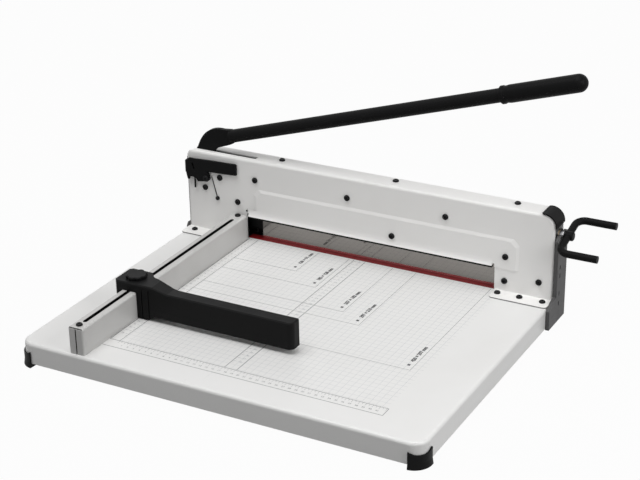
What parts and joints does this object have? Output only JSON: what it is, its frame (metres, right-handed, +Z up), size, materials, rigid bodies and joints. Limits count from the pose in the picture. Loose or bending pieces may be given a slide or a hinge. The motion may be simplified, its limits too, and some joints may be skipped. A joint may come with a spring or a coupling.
{
  "type": "business card cutter",
  "caption": "Heavy stack paper cutter for sheets up to A3: pressed steel table, blade housing with a long hand lever, screw-driven paper clamp, side fence and sliding sheet gauge.",
  "frame": {"origin": "on the ground under the middle of the whole machine's outline, lever and handle included", "axes": "+X along the blade to the right as the operator sees it, +Y away from the operator towards the blade housing, +Z up; the lever, its blade and the clamp are drawn as in use, lever about 17 degrees above level"},
  "size_m": [0.706, 0.5164, 0.3874],
  "materials": {
    "white_paint": "satin",
    "black_paint": "satin",
    "black_plastic": "matte",
    "dark_plastic": "matte",
    "black_rubber": "matte",
    "red_plastic": "satin",
    "fence_aluminium": "anodised",
    "steel": "ground",
    "polished_steel": "polished",
    "black_screw": "black oxide",
    "bronze": "plain",
    "nylon": "matte"
  },
  "bodies": {
    "machine": {"base_tray": "white_paint", "cutting_beam": "white_paint", "stiffening_ribs": "white_paint", "foot_front_left": "black_rubber", "foot_front_right": "black_rubber", "foot_rear_left": "black_rubber", "foot_rear_right": "black_rubber", "cutting_stick": "red_plastic", "front_plate": "white_paint", "rear_plate": "white_paint", "left_end_plate": "white_paint", "right_end_plate": "white_paint", "top_tie_bar": "steel", "end_cover": "dark_plastic", "left_boot": "dark_plastic", "corner_strap": "black_paint", "front_bolts": "black_screw", "top_bolts": "black_screw", "flange_screws": "black_screw", "table_nuts": "steel", "rear_bolts": "black_screw", "pivot_pin": "steel", "pivot_spacers": "steel", "hub_guide": "nylon", "guide_rollers": "steel", "clamp_guide_left": "black_plastic", "clamp_guide_right": "black_plastic", "slider_posts": "steel", "clamp_pad": "nylon", "spindle_bush": "bronze", "side_fence": "fence_aluminium", "fence_screw_front": "black_screw", "fence_screw_rear": "black_screw", "latch_pivot": "black_screw", "latch_spring": "black_screw", "anchor_screw": "black_screw"},
    "knife": {"blade_carriage": "black_paint", "blade": "steel", "blade_bolts": "black_screw", "drive_pin": "steel"},
    "lever": {"lever_hub": "black_paint", "pivot_bush": "bronze", "lever_tube": "black_paint", "lever_grip": "black_plastic"},
    "clamp": {"clamp_plate": "polished_steel", "clamp_stiffener": "black_paint", "clamp_screws": "black_screw", "clamp_pins": "steel"},
    "slider": {"clamp_slider": "steel", "slider_nut": "bronze"},
    "clamp_screw_handle": {"clamp_spindle": "steel", "clamp_handle": "black_paint"},
    "latch": {"latch_bar": "black_paint", "latch_pin": "steel"},
    "gauge": {"gauge_arm": "black_plastic", "gauge_t_nut": "steel", "gauge_stud": "steel", "gauge_washer": "steel"},
    "knob": {"gauge_knob": "black_plastic"}
  },
  "joints": [
    {"name": "knife_slide", "type": "slide", "parent": "machine", "child": "knife", "axis": [0.5, 0, 0.866], "range_m": [-0.01405, 0.03905]},
    {"name": "lever_swing", "type": "hinge", "parent": "machine", "child": "lever", "pos_m": [-0.31505, 0.2087, 0.113], "axis": [0, -1, 0], "range_deg": [-16.2, 45]},
    {"name": "clamp_slide", "type": "slide", "parent": "machine", "child": "clamp", "axis": [0, 0, 1], "range_m": [0, 0.04]},
    {"name": "slider_slide", "type": "slide", "parent": "machine", "child": "slider", "axis": [-1, 0, 0], "range_m": [0, 0.04]},
    {"name": "handle_turn", "type": "hinge", "parent": "machine", "child": "clamp_screw_handle", "pos_m": [0.29595, 0.2127, 0.1405], "axis": [1, 0, 0], "range_deg": [0, 1800]},
    {"name": "latch_swing", "type": "hinge", "parent": "machine", "child": "latch", "pos_m": [-0.31005, 0.194, 0.131], "axis": [0, -1, 0], "range_deg": [0, 10]},
    {"name": "gauge_slide", "type": "slide", "parent": "machine", "child": "gauge", "axis": [0, 1, 0], "range_m": [-0.105, 0.235]},
    {"name": "knob_turn", "type": "hinge", "parent": "gauge", "child": "knob", "pos_m": [-0.24955, -0.0983, 0.098], "axis": [0, 0, 1], "range_deg": [0, 180]}
  ],
  "couplings": [
    {"joint": "lever_swing", "follows": "knife_slide", "rad_per_m": 20.11},
    {"joint": "clamp_slide", "follows": "slider_slide", "ratio": 1},
    {"joint": "handle_turn", "follows": "slider_slide", "rad_per_m": 785.4}
  ]
}
